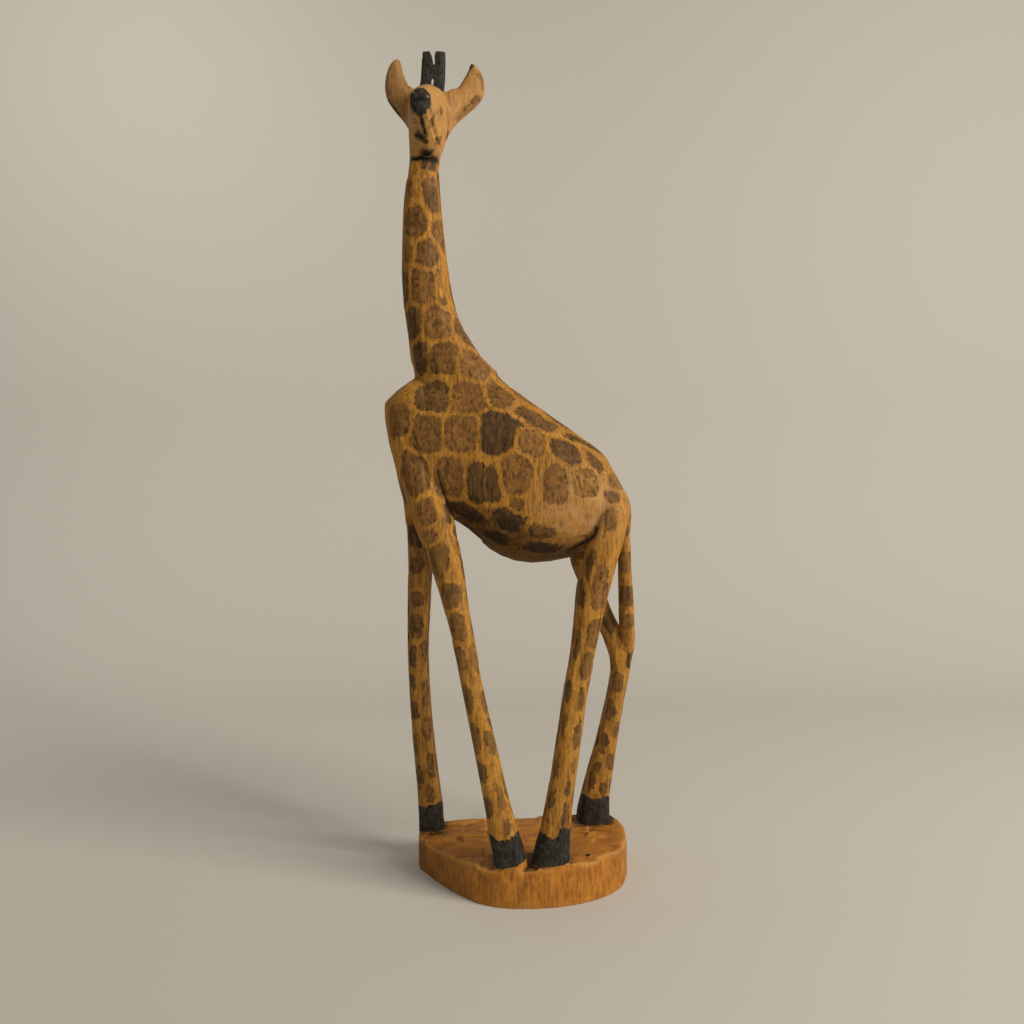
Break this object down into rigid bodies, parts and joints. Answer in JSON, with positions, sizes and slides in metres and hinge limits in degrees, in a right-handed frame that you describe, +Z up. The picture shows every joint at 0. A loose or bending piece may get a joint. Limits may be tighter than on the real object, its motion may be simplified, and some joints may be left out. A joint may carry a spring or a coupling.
{
  "type": "carved giraffe statue",
  "caption": "Slender carved wooden giraffe striding on a low D-shaped plinth, head turned aside, with burnt brown patches, black painted hooves, nose and horns.",
  "frame": {"origin": "middle of the plinth's flat underside, on the surface it stands on", "axes": "+Z up through the giraffe, +X towards its tail end, -Y its left flank and the side its face is turned to"},
  "size_m": [0.1083, 0.0597, 0.353],
  "materials": {
    "plinth_wood": "oiled bare wood, honey brown, tool marks left in",
    "carved_wood": "satin waxed honey wood with burnt brown patches",
    "black_paint": "matte black paint brushed on the wood"
  },
  "bodies": {
    "root": {"base": "plinth_wood", "front_left_leg": "carved_wood", "front_right_leg": "carved_wood", "hind_left_leg": "carved_wood", "hind_right_leg": "carved_wood", "torso": "carved_wood", "neck": "carved_wood", "head": "carved_wood", "left_ear": "carved_wood", "right_ear": "carved_wood", "tail": "carved_wood", "front_left_hoof": "black_paint", "front_right_hoof": "black_paint", "hind_left_hoof": "black_paint", "hind_right_hoof": "black_paint", "muzzle_tip": "black_paint", "left_horn": "black_paint", "right_horn": "black_paint"}
  },
  "joints": []
}
